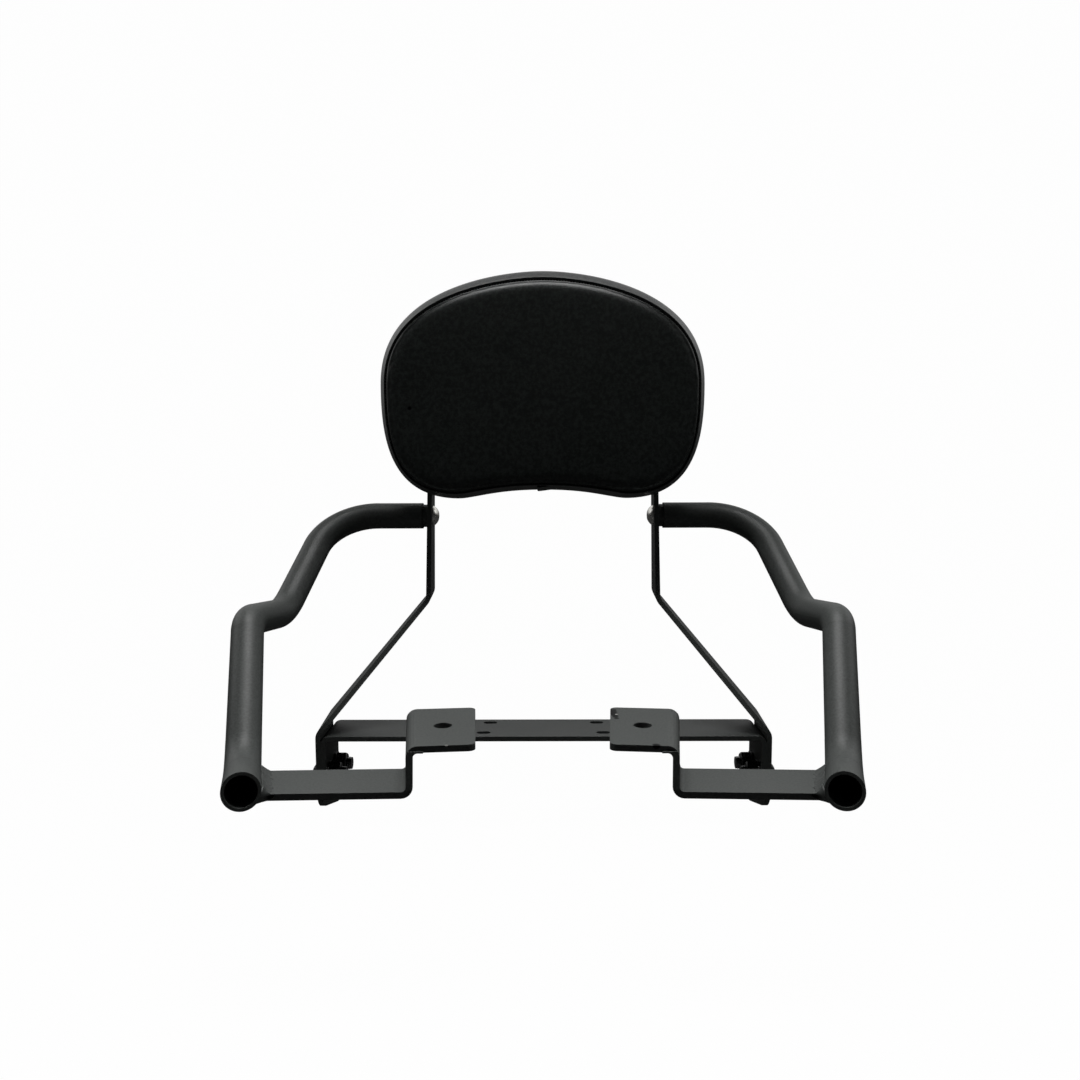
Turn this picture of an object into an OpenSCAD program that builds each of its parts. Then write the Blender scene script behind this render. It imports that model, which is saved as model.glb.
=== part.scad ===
// Backrest for a motorcycle rider: a sewn pad on two bent flat-bar uprights, tied by a
// slotted cross plate and held by two tube rails that run forward to the seat bolts.
// Origin: midway between the two seat-bolt holes, on the top face of the rail plates.
// X is to the right, Y runs to the rear, Z is up. All sizes are in millimetres.

/* [Pad] */
// Width of the pad
pad_w = 272; // [240:0.5:290]
// Height of the pad above its centre
pad_above = 97.5; // [85:0.5:105]
// Depth of the pad's lobes below its centre
pad_below = 93; // [85:0.5:100]
// Rise of the arched bottom edge between the lobes
pad_arch = 7.2; // [2:0.1:12]
// Thickness of the pad at its crown
pad_t = 47; // [42:0.5:54]
// Height of the pad's centre above the seat plates
pad_z = 220.5; // [218:0.5:230]
// Distance of the pad's back face behind the seat bolts
pad_y = 242.5; // [240:0.5:246]
// Backward lean of the pad in degrees
pad_lean = 5; // [3:0.5:7]

/* [Rails] */
// Outside diameter of the rail tube
rail_d = 22.2; // [20:0.1:24]
// Wall of the rail tube
rail_wall = 2; // [1.5:0.1:2.5]

/* [Seat plates] */
// Distance between the two seat-bolt holes
seat_span = 124.5; // [120:0.5:130]
// Diameter of a seat-bolt hole
seat_hole_d = 11.5; // [10.5:0.1:12.5]
// Thickness of the folded rail brackets
bracket_t = 4; // [3.5:0.1:4.5]
// Drop from the top plate to the welded strap
bracket_drop = 25.5; // [24:0.1:27]

/* [Uprights] */
// Thickness of the flat bar
bar_t = 4; // [3.5:0.1:4.5]
// Distance between the outer faces at the pad
top_span = 199.6; // [196:0.2:204]
// Distance between the outer faces at the cross plate
low_span = 373.6; // [370:0.2:378]

/* [Cross plate] */
// Thickness of the cross plate
cross_t = 4; // [3.5:0.1:4.5]
// Depth of the cross plate, front to rear
cross_depth = 48; // [46:0.5:50]
// Length of a fixing slot
slot_length = 11.5; // [9:0.1:13]
// Width of a fixing slot
slot_width = 6.5; // [5:0.1:8]

/* [Fasteners] */
// Thread diameter of the frame bolts
bolt_d = 10; // [8:0.5:10]
// Clearance hole for a frame bolt
bolt_hole_d = 10.5; // [10.2:0.1:11]
// Thread diameter of the pad screws
screw_d = 6; // [5:0.5:6]

/* [Hidden] */
$fn = 48;
fold_steps = 6;
outline_steps = 12;

STEEL_BLACK = [0.13, 0.13, 0.14];
WELD_BLACK = [0.2, 0.2, 0.21];
ZINC = [0.78, 0.78, 0.76];
BLACK_OXIDE = [0.07, 0.07, 0.08];
HIDE_FRONT = [0.2, 0.2, 0.21];
HIDE_BORDER = [0.27, 0.27, 0.28];
FOAM = [0.85, 0.8, 0.6];
PLY = [0.62, 0.45, 0.28];

// Uprights: outer faces, corner heights of the two folds, their rise to the rear in
// degrees, and side edges
fold_r = 8;
top_x = top_span / 2 - bar_t / 2;
low_x = low_span / 2 - bar_t / 2;
top_fold_z = 44.4;
low_fold_z = -56.5;
fold_tilt = 4.9;
bar_top_z = 246;
kink_z = 135;
bar_front_low = 175;
bar_back_low = bar_front_low + cross_depth;
bar_front_fold = 218;
bar_back_fold = 249.2;
bar_back_top = 273;
bar_mid_fold = (bar_front_fold + bar_back_fold) / 2;
carrier_t = 3;
foot_width = 30;
foot_slope = 16.7;
foot_centre = [238, -126];

// Cross plate and the four bolts of its tabs
cross_z = -63;
tab_drop = 50;
tab_face = low_span / 2 - bar_t;
low_bolt_z = -97;
low_bolt_y = [186, 209.5];
rear_slots = [214, 91.2];
front_slots = [186, 99.2];

// Rail path of the right side: mouth, two elbows, shoulder, last bend, end at the upright
rail_end_x = 104.5;
rail_y = 244.5;
rail_z = 113;
rail_path = [
  [168.5, -63, -18.5], [186.5, -5, -26.5], [207, 78, 52],
  [203, 153, 44.2], [184, rail_y, rail_z], [rail_end_x, rail_y, rail_z]
];
rail_r = [0, 42, 21, 41, 48, 0];
rail_bore = rail_d - 2 * rail_wall;
elbow_swell = 0.05;
elbow_lap = 0.6;

// Folded bracket: hole-centred plan lines given by a point and a direction in degrees
bracket_fold_r = 5;
hole_x = seat_span / 2;
plate_inner = 20.3;
plate_outer = 23.1;
plate_front = 39.2;
plate_back = 38.7;
strap_front = 44.7;
strap_back = 5.1;
plate_skew = 5.5;
strap_skew = 2.2;
inner_skew = 4.3;
fold_skew = 8;
plate_corner = 4.5;

// Pad build-up, measured forward from its back face
skin_t = 2;
board_t = 6;
border_front = 38;
border_depth = 15;
seam_side = 7.3;
seam_rise = 4;
seam_bow = 0.7;
screw_x = 70;
screw_rows = [-62, -18];
tee_d = 8;
tee_flange_d = 18;
tee_flange_t = 1.5;
pad_washer_t = 1.6;
hole_play = 0.2;

// Nuts, washers and beads
nut_h = 8.4;
nut_across = 1.85 * bolt_d;
tab_washer_t = 2;
bolt_past_nut = 4.2;
thread_play = 0.1;
strap_bead_r = 3.8;
strap_bead_run = 37;
carrier_bead = 4;

// Vector and outline helpers
function unit(v) = v / norm(v);
function perp(v) = [-v[1], v[0]];
function spin(v, a) = [v[0] * cos(a) - v[1] * sin(a), v[0] * sin(a) + v[1] * cos(a)];
function reversed(p) = [for (i = [len(p) - 1:-1:0]) p[i]];
function meet(p, a, q, b) = p + a * (cross(q - p, b) / cross(a, b));

function corner_arc(a, b, c, r, n) =
  let(u = unit(a - b), v = unit(c - b), half = acos(u * v) / 2)
  r == 0 ? [b] :
  let(
    centre = b + unit(u + v) * r / sin(half),
    start = b + u * r / tan(half) - centre,
    way = cross(v, u) > 0 ? 1 : -1,
    sweep = (180 - 2 * half) * way
  )
  [for (k = [0:n]) centre + spin(start, sweep * k / n)];

function rounded(p, r, n) =
  let(m = len(p))
  [for (i = [0:m - 1]) each corner_arc(p[(i + m - 1) % m], p[i], p[(i + 1) % m], r[i], n)];

// A folded sheet drawn edge-on: the line of its middle, its thickness and its bend radius
function fold_mitre(p, i) =
  let(
    u = unit(p[max(i, 1)] - p[max(i, 1) - 1]),
    last = len(p) - 2,
    v = unit(p[min(i, last) + 1] - p[min(i, last)])
  )
  (perp(u) + perp(v)) / (1 + u * v);
function fold_turn(p, i) =
  i == 0 || i == len(p) - 1 ? 0 : sign(cross(p[i] - p[i - 1], p[i + 1] - p[i]));
function fold_side(p, d) = [for (i = [0:len(p) - 1]) p[i] + fold_mitre(p, i) * d];
function fold_radii(p, r, d) =
  [for (i = [0:len(p) - 1]) fold_turn(p, i) == 0 ? 0 : r - fold_turn(p, i) * d];
function folded(p, t, r, n) = rounded(
  concat(fold_side(p, t / 2), reversed(fold_side(p, -t / 2))),
  concat(fold_radii(p, r, t / 2), reversed(fold_radii(p, r, -t / 2))), n);

// Pad outline: three curves for the right half, mirrored for the left
function curve(p, t) =
  p[0] * pow(1 - t, 3) + p[1] * 3 * t * pow(1 - t, 2)
  + p[2] * 3 * pow(t, 2) * (1 - t) + p[3] * pow(t, 3);
pad_side_y = 4;
pad_lobe_x = 70;
pad_curves = [
  [[0, pad_above], [30, pad_above], [pad_w / 2, 87], [pad_w / 2, pad_side_y]],
  [[pad_w / 2, pad_side_y], [pad_w / 2, -40], [130, -pad_below], [pad_lobe_x, -pad_below]],
  [[pad_lobe_x, -pad_below], [60, -pad_below], [40, pad_arch - pad_below], [0, pad_arch - pad_below]]
];
pad_half = [for (c = pad_curves) for (k = [0:outline_steps - 1]) curve(c, k / outline_steps)];
pad_outline = concat(
  pad_half, [[0, pad_arch - pad_below]],
  [for (i = [len(pad_half) - 1:-1:1]) [-pad_half[i][0], pad_half[i][1]]]);
pad_count = len(pad_outline);
pad_normals = [for (i = [0:pad_count - 1])
  unit(perp(pad_outline[(i + 1) % pad_count] - pad_outline[(i + pad_count - 1) % pad_count]))];

function inset_point(i, d) = pad_outline[i] - pad_normals[i] * d;
function inset_outline(d) = [for (i = [0:pad_count - 1]) inset_point(i, d)];
// The seam lies further in along the top edge than at the sides, and least at the bottom
function seam_inset(i) =
  seam_side + seam_rise * pad_normals[i][1] + seam_bow * pow(pad_normals[i][1], 2);
function pad_ring(inset, share, z) = [for (i = [0:pad_count - 1])
  let(q = inset_point(i, inset + share * seam_inset(i))) [q[0], q[1], z]];
function scaled_ring(k, z) = [for (q = pad_ring(24, 1, z)) [q[0] * k, q[1] * k, z]];

function ring_band(n, a, b) = [for (i = [0:n - 1]) each [
  [a + i, a + (i + 1) % n, b + (i + 1) % n], [a + i, b + (i + 1) % n, b + i]]];

// Closed skin through a stack of rings, capped at both ends
module ring_stack(rings) {
  n = len(rings[0]);
  last = (len(rings) - 1) * n;
  bands = [for (k = [0:len(rings) - 2]) each ring_band(n, k * n, (k + 1) * n)];
  caps = [[for (i = [n - 1:-1:0]) i], [for (i = [0:n - 1]) last + i]];
  polyhedron(points = [for (r = rings) each r], faces = concat(bands, caps), convexity = 4);
}

// Closed skin through rings that return to the first one, such as a thick band
module ring_loop(rings) {
  n = len(rings[0]);
  m = len(rings);
  bands = [for (k = [0:m - 1]) each ring_band(n, k * n, ((k + 1) % m) * n)];
  polyhedron(points = [for (r = rings) each r], faces = bands, convexity = 6);
}

module pad_frame() {
  translate([0, pad_y, pad_z]) rotate([90 - pad_lean, 0, 0]) children();
}

module handed(side) {
  mirror([side < 0 ? 1 : 0, 0, 0]) children();
}

// Lays a shape drawn along Z so that it points outward along X at a given place
module outward(x, y, z) {
  translate([x, y, z]) rotate([0, 90, 0]) children();
}

function screw_at(i) = [(i % 2 == 0 ? -1 : 1) * screw_x, screw_rows[floor(i / 2)]];
module at_screw(i) {
  pad_frame() translate(screw_at(i)) children();
}

// Pad pieces
module pad_front_panel() {
  color(HIDE_FRONT) pad_frame() ring_stack([
    pad_ring(0, 1, border_front), pad_ring(0.9, 1, border_front + 2), pad_ring(3.2, 1, border_front + 4),
    pad_ring(8, 1, border_front + 5.8), pad_ring(15, 1, border_front + 7),
    pad_ring(24, 1, border_front + 7.8), scaled_ring(0.66, pad_t - 0.5), scaled_ring(0.33, pad_t)
  ]);
}

module pad_border() {
  color(HIDE_BORDER) pad_frame() ring_loop([
    pad_ring(border_depth, 0, 0), pad_ring(6, 0, 0), pad_ring(2.4, 0, 4), pad_ring(0.4, 0, 11),
    pad_ring(0, 0, 18), pad_ring(0, 0.2, 26), pad_ring(0, 0.55, 33), pad_ring(0, 1, border_front),
    pad_ring(border_depth, 0, border_front)
  ]);
}

module pad_layer(from, to) {
  translate([0, 0, from]) linear_extrude(to - from) polygon(inset_outline(border_depth));
}

module pad_foam() {
  color(FOAM) pad_frame() pad_layer(skin_t + board_t, border_front);
}

module pad_board() {
  front = skin_t + board_t;
  color(PLY) difference() {
    pad_frame() pad_layer(skin_t, front);
    for (i = [0:3]) at_screw(i) cylinder(d = tee_d + hole_play, h = 2 * front, center = true);
    for (i = [0:3]) at_screw(i) translate([0, 0, front - tee_flange_t])
      cylinder(d = tee_flange_d + hole_play, h = 2 * tee_flange_t);
  }
}

module pad_back_panel() {
  color(HIDE_BORDER) difference() {
    pad_frame() pad_layer(0, skin_t);
    for (i = [0:3]) at_screw(i) cylinder(d = tee_d + hole_play, h = 3 * skin_t, center = true);
  }
}

module tee_nut(i) {
  front = skin_t + board_t;
  color(ZINC) at_screw(i) difference() {
    union() {
      translate([0, 0, front - tee_flange_t]) cylinder(d = tee_flange_d, h = tee_flange_t);
      translate([0, 0, 0.5]) cylinder(d = tee_d, h = front - 1);
    }
    cylinder(d = screw_d + thread_play, h = 2 * front);
  }
}

module pad_washer(i) {
  color(ZINC) at_screw(i) translate([0, 0, -carrier_t - pad_washer_t]) difference() {
    cylinder(d = 2.2 * screw_d, h = pad_washer_t);
    cylinder(d = screw_d + 2 * hole_play, h = 4 * pad_washer_t, center = true);
  }
}

module pad_screw(i) {
  head_t = 0.7 * screw_d;
  under_head = -carrier_t - pad_washer_t;
  color(ZINC) at_screw(i) union() {
    translate([0, 0, under_head - head_t]) cylinder(d = 1.92 * screw_d, h = head_t, $fn = 6);
    translate([0, 0, under_head]) cylinder(d = screw_d, h = skin_t + board_t - 1 - under_head);
  }
}

// Plate behind the pad, welded across the front edges of the uprights
carrier_h = 84;
carrier_mid = (screw_rows[0] + screw_rows[1]) / 2;
module carrier_plate() {
  half_w = top_span / 2;
  half_h = carrier_h / 2;
  corners = [[-half_w, -half_h], [half_w, -half_h], [half_w, half_h], [-half_w, half_h]];
  color(STEEL_BLACK) pad_frame() translate([0, carrier_mid, -carrier_t]) difference() {
    linear_extrude(carrier_t) polygon(rounded(corners, [9, 9, 9, 9], fold_steps));
    for (i = [0:3]) translate(screw_at(i) - [0, carrier_mid])
      cylinder(d = screw_d + 0.6, h = 3 * carrier_t, center = true);
  }
}

module carrier_weld(side) {
  run = carrier_h - 24;
  color(WELD_BLACK) handed(side) pad_frame()
    translate([top_span / 2 - bar_t, carrier_mid - run / 2, -carrier_t]) rotate([-90, 0, 0])
      linear_extrude(run) polygon([[0, 0], [-carrier_bead, 0],
        [-0.4 * carrier_bead, 0.4 * carrier_bead], [0, carrier_bead]]);
}

// Flat-bar upright: front view of the folds cut to the side view of the bar
function pad_plane_y(z, ahead) =
  pad_y + (z - pad_z) * tan(pad_lean) - ahead / cos(pad_lean);
module upright_side() {
  along = [cos(foot_slope), -sin(foot_slope)];
  low = foot_centre + perp(along) * (-foot_width / 2);
  high = foot_centre + perp(along) * (foot_width / 2);
  tip = foot_width / 2;
  outline = [
    [pad_plane_y(bar_top_z, -carrier_t), bar_top_z], [pad_plane_y(kink_z, -carrier_t), kink_z],
    [bar_front_fold, top_fold_z], [bar_front_low, low_fold_z],
    meet([bar_front_low, 0], [0, 1], low, along), low + along * tip, high + along * tip,
    meet([bar_back_low, 0], [0, 1], high, along),
    [bar_back_low, low_fold_z], [bar_back_fold, top_fold_z], [bar_back_top, bar_top_z]
  ];
  polygon(rounded(outline, [6, 60, 80, 60, 20, tip - 0.1, tip - 0.1, 10, 60, 80, 8], fold_steps));
}

module upright(side) {
  middle = [[low_x, -170], [low_x, low_fold_z], [top_x, top_fold_z], [top_x, bar_top_z + 10]];
  color(STEEL_BLACK) handed(side) difference() {
    intersection() {
      translate([0, bar_mid_fold, 0]) rotate([90 + fold_tilt, 0, 0])
        linear_extrude(150, center = true) polygon(folded(middle, bar_t, fold_r, fold_steps));
      rotate([90, 0, 90]) linear_extrude(220) upright_side();
    }
    outward(top_x - 10, rail_y, rail_z) cylinder(d = bolt_hole_d, h = 20);
    for (y = low_bolt_y) outward(low_x - 10, y, low_bolt_z) cylinder(d = bolt_hole_d, h = 20);
    outward(low_x - 10, foot_centre[0], foot_centre[1]) cylinder(d = bolt_hole_d, h = 20);
  }
}

// Cross plate: a strap folded down into two bolted tabs, with four fixing slots
module slot(x, y) {
  run = slot_length - slot_width;
  translate([x, y, cross_z - 2 * cross_t]) linear_extrude(3 * cross_t) union() {
    square([run, slot_width], center = true);
    for (s = [-1, 1]) translate([s * run / 2, 0]) circle(d = slot_width);
  }
}

module cross_plate() {
  x = tab_face - cross_t / 2;
  z = cross_z - cross_t / 2;
  low = cross_z - tab_drop;
  middle = [[-x, low], [-x, z], [x, z], [x, low]];
  front = bar_front_low;
  back = front + cross_depth;
  side = [[front, low], [back, low], [back, cross_z + 1], [front, cross_z + 1]];
  color(STEEL_BLACK) difference() {
    intersection() {
      translate([0, back, 0]) rotate([90, 0, 0])
        linear_extrude(cross_depth) polygon(folded(middle, cross_t, 5, fold_steps));
      translate([-200, 0, 0]) rotate([90, 0, 90])
        linear_extrude(400) polygon(rounded(side, [10, 10, 0, 0], fold_steps));
    }
    for (s = [-1, 1]) slot(s * rear_slots[1] / 2, rear_slots[0]);
    for (s = [-1, 1]) slot(s * front_slots[1] / 2, front_slots[0]);
    for (y = low_bolt_y) outward(-200, y, low_bolt_z) cylinder(d = bolt_hole_d, h = 400);
  }
}

// Bent tube: straight runs as cylinders, elbows as part turns that lap a little over them
function rail_turn(i) = acos(unit(rail_path[i] - rail_path[i - 1]) * unit(rail_path[i + 1] - rail_path[i]));
function rail_cut(i) =
  i == 0 || i == len(rail_path) - 1 ? 0 : rail_r[i] * tan(rail_turn(i) / 2);
function placed(x, y, z, o) = [
  [x[0], y[0], z[0], o[0]], [x[1], y[1], z[1], o[1]], [x[2], y[2], z[2], o[2]], [0, 0, 0, 1]];

module rail_run(i, d, past) {
  z = unit(rail_path[i + 1] - rail_path[i]);
  x = unit(cross([0, 0, 1], z));
  start = rail_path[i] + z * (rail_cut(i) - (i == 0 ? past : 0));
  length = norm(rail_path[i + 1] - start) - rail_cut(i + 1) + (i == len(rail_path) - 2 ? past : 0);
  multmatrix(placed(x, cross(z, x), z, start)) cylinder(d = d, h = length);
}

module rail_elbow(i, d) {
  u = unit(rail_path[i] - rail_path[i - 1]);
  v = unit(rail_path[i + 1] - rail_path[i]);
  n = unit(v - u * (u * v));
  centre = rail_path[i] - u * rail_cut(i) + n * rail_r[i];
  multmatrix(placed(-n, u, cross(-n, u), centre)) rotate([0, 0, -elbow_lap])
    rotate_extrude(angle = rail_turn(i) + 2 * elbow_lap)
      translate([rail_r[i], 0]) circle(d = d + 2 * elbow_swell);
}

module rail_rod(d, past) {
  for (i = [0:len(rail_path) - 2]) rail_run(i, d, past);
  for (i = [1:len(rail_path) - 2]) rail_elbow(i, d);
}

module rail_tube(side) {
  color(STEEL_BLACK) handed(side) difference() {
    rail_rod(rail_d, 0);
    rail_rod(rail_bore, 5);
  }
}

// Folded rail bracket: top plate with the seat-bolt hole, wall, and strap to the tube
function heading(a) = [cos(a), sin(a)];
module bracket_plan(front, back, skew, inner, outer) {
  a = heading(-skew);
  f = [hole_x, -front];
  b = [hole_x, back];
  corners = [meet(f, a, inner[0], inner[1]), meet(f, a, outer[0], outer[1]),
    meet(b, a, outer[0], outer[1]), meet(b, a, inner[0], inner[1])];
  polygon(rounded(corners, [plate_corner, 0, 0, plate_corner], fold_steps));
}

module rail_bracket(side) {
  fold_way = heading(90 - fold_skew);
  wall_x = hole_x + plate_outer - bracket_t / 2;
  high = -bracket_t / 2;
  low = -bracket_drop - bracket_t / 2;
  middle = [[-80, high], [0, high], [0, low], [110, low]];
  leg = [rail_path[1][0] - rail_path[0][0], rail_path[1][1] - rail_path[0][1]];
  axis_point = [rail_path[0][0], rail_path[0][1]];
  // The wall is as deep as the plate above and tapers to the strap's width below
  wall_side = [[-strap_front - 0.8, low + 3], [-plate_front - 2, -bracket_t + 1],
    [plate_back - 2, -bracket_t + 1], [plate_back - 2, -bracket_t - 3],
    [-strap_back - 0.8 + 10, low + 4.5], [-strap_back - 0.8, low + 3]];
  color(STEEL_BLACK) handed(side) difference() {
    intersection() {
      translate([wall_x, 0, 0]) rotate([0, 0, -fold_skew]) translate([0, 90, 0]) rotate([90, 0, 0])
        linear_extrude(180) polygon(folded(middle, bracket_t, bracket_fold_r, fold_steps));
      union() {
        translate([0, 0, high - bracket_t]) linear_extrude(20)
          bracket_plan(plate_front, plate_back, plate_skew,
            [[hole_x - plate_inner, 0], heading(90 - inner_skew)], [[wall_x + 12, 0], fold_way]);
        translate([0, 0, low - 10]) linear_extrude(14)
          bracket_plan(strap_front, -strap_back, strap_skew,
            [[wall_x - 30, 0], fold_way], [axis_point, leg]);
        translate([wall_x - 14, 0, 0]) rotate([90, 0, 90]) linear_extrude(28)
          polygon(rounded(wall_side, [0, 0, 0, 3, 6, 0], fold_steps));
      }
    }
    translate([hole_x, 0, 0]) cylinder(d = seat_hole_d, h = 40, center = true);
    rail_rod(rail_d, 5);
  }
}

// Weld bead where the strap meets the tube, above it (level 1) or below it (level -1)
module rail_weld(side, level) {
  leg = rail_path[1] - rail_path[0];
  u = unit([leg[0], leg[1], 0]);
  x = cross([0, 0, 1], u);
  face = level > 0 ? -bracket_drop : -bracket_drop - bracket_t;
  inward = level > 0 ? 10.8 : 9;
  start = rail_path[0] + u * 20 + x * inward;
  color(WELD_BLACK) handed(side) difference() {
    intersection() {
      multmatrix(placed(x, cross(u, x), u, [start[0], start[1], face])) 
        cylinder(r = strap_bead_r, h = strap_bead_run);
      translate([hole_x, -100, level > 0 ? face : face - 10]) cube([200, 200, 10]);
    }
    rail_rod(rail_d, 5);
  }
}

// End plug of a rail: a collar against the upright and a spigot in the tube
module rail_plug(side) {
  face = top_span / 2;
  collar = rail_end_x - face;
  bore_r = (bolt_d + thread_play) / 2;
  collar_r = 9.8;
  end = collar + 16;
  profile = [[bore_r, 0], [collar_r, 0], [collar_r, collar], [rail_bore / 2, collar],
    [rail_bore / 2, end], [bore_r, end]];
  color(STEEL_BLACK) handed(side) outward(face, rail_y, rail_z) rotate_extrude() polygon(profile);
}

// Button head on the face Z = 0 with its shank running to plus Z
module button_bolt(d, length) {
  head_r = 0.875 * d;
  head_h = 0.55 * d;
  dome_r = (pow(head_r, 2) + pow(head_h, 2)) / (2 * head_h) + 0.6;
  difference() {
    union() {
      cylinder(d = d, h = length);
      rotate_extrude() intersection() {
        translate([0, dome_r - head_h]) circle(r = dome_r, $fn = 96);
        translate([0, -head_h]) square([head_r, head_h]);
      }
    }
    translate([0, 0, -head_h - 1]) cylinder(d = 0.69 * d, h = 0.33 * d + 1, $fn = 6);
  }
}

module rail_bolt(side) {
  color(ZINC) handed(side) outward(top_span / 2 - bar_t, rail_y, rail_z) button_bolt(bolt_d, 25);
}

module tab_bolt(side, row) {
  reach = bar_t + cross_t + tab_washer_t + nut_h + bolt_past_nut;
  color(BLACK_OXIDE) handed(side) outward(low_span / 2, low_bolt_y[row], low_bolt_z)
    rotate([180, 0, 0]) button_bolt(bolt_d, reach);
}

module tab_washer(side, row) {
  color(BLACK_OXIDE) handed(side) outward(tab_face - cross_t - tab_washer_t, low_bolt_y[row], low_bolt_z)
    difference() {
      cylinder(d = 2 * bolt_d, h = tab_washer_t);
      cylinder(d = bolt_hole_d, h = 4 * tab_washer_t, center = true);
    }
}

module tab_nut(side, row) {
  face = tab_face - cross_t - tab_washer_t - nut_h;
  color(BLACK_OXIDE) handed(side) outward(face, low_bolt_y[row], low_bolt_z)
    difference() {
      intersection() {
        cylinder(d = nut_across, h = nut_h, $fn = 6);
        rotate_extrude() polygon([[0, 0], [0.42 * nut_across, 0], [nut_across / 2, 0.06 * nut_across],
          [nut_across / 2, nut_h], [0, nut_h]]);
      }
      translate([0, 0, -1]) cylinder(d = bolt_d + thread_play, h = nut_h + 2);
    }
}

pad_front_panel();
pad_border();
pad_foam();
pad_board();
pad_back_panel();
for (i = [0:3]) tee_nut(i);
for (i = [0:3]) pad_screw(i);
for (i = [0:3]) pad_washer(i);
carrier_plate();
carrier_weld(-1);  // carrier_weld_left
carrier_weld(1);  // carrier_weld_right
upright(-1);  // upright_left
upright(1);  // upright_right
cross_plate();
rail_tube(-1);  // rail_tube_left
rail_tube(1);  // rail_tube_right
rail_bracket(-1);  // rail_bracket_left
rail_bracket(1);  // rail_bracket_right
rail_weld(-1, 1);  // rail_weld_upper_left
rail_weld(1, 1);  // rail_weld_upper_right
rail_weld(-1, -1);  // rail_weld_lower_left
rail_weld(1, -1);  // rail_weld_lower_right
rail_plug(-1);  // rail_plug_left
rail_plug(1);  // rail_plug_right
rail_bolt(-1);  // rail_bolt_left
rail_bolt(1);  // rail_bolt_right
tab_bolt(-1, 0);  // tab_bolt_front_left
tab_bolt(1, 0);  // tab_bolt_front_right
tab_bolt(-1, 1);  // tab_bolt_rear_left
tab_bolt(1, 1);  // tab_bolt_rear_right
tab_washer(-1, 0);  // tab_washer_front_left
tab_washer(1, 0);  // tab_washer_front_right
tab_washer(-1, 1);  // tab_washer_rear_left
tab_washer(1, 1);  // tab_washer_rear_right
tab_nut(-1, 0);  // tab_nut_front_left
tab_nut(1, 0);  // tab_nut_front_right
tab_nut(-1, 1);  // tab_nut_rear_left
tab_nut(1, 1);  // tab_nut_rear_right
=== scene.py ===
"""Looks of a motorcycle backrest: a sewn pad on bent flat-bar uprights with two tube rails."""

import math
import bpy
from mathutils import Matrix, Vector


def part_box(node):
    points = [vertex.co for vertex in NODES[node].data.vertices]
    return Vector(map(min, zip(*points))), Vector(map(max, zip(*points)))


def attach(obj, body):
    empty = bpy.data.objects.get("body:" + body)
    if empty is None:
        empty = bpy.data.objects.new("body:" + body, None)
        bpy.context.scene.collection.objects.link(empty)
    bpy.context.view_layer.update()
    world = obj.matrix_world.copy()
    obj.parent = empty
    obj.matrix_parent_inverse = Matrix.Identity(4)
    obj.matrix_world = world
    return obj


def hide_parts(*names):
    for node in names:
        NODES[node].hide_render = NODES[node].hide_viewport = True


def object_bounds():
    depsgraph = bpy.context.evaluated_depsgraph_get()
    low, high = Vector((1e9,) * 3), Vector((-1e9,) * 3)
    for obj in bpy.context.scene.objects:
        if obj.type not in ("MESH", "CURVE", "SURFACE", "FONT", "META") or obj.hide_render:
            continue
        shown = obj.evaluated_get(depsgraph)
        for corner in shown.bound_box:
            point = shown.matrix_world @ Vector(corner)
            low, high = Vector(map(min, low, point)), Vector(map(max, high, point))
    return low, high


bl_info = {
    "name": "Motorcycle Backrest Looks",
    "version": (1, 0, 0),
    "blender": (4, 5, 0),
    "location": "View3D > Sidebar > Backrest",
    "description": "Dresses the backrest frame with its cover, seams, welds, coatings and stage",
    "category": "Object",
}

import bmesh
import bpy
from bpy.props import FloatProperty, FloatVectorProperty, IntProperty, PointerProperty
from mathutils import Matrix, Vector, noise
from mathutils.bvhtree import BVHTree

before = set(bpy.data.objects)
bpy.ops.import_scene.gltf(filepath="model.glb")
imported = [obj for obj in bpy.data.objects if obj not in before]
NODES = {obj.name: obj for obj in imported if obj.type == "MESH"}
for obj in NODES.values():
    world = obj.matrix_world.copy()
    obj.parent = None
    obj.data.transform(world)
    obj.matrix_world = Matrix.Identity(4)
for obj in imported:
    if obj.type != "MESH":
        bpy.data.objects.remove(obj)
CAD_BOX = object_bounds()
MM = 0.001


# Sizes and colours that a user would change


def length(name, default_mm, description, low=0.0, high=1000.0):
    return FloatProperty(
        name=name, description=description, default=default_mm * MM, min=low * MM, max=high * MM,
        unit="LENGTH", precision=5)


def share(name, default, description, low=0.0, high=1.0):
    return FloatProperty(name=name, description=description, default=default, min=low, max=high)


def colour(name, default, description):
    return FloatVectorProperty(
        name=name, description=description, default=default, size=3, min=0.0, max=1.0, subtype="COLOR")


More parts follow.
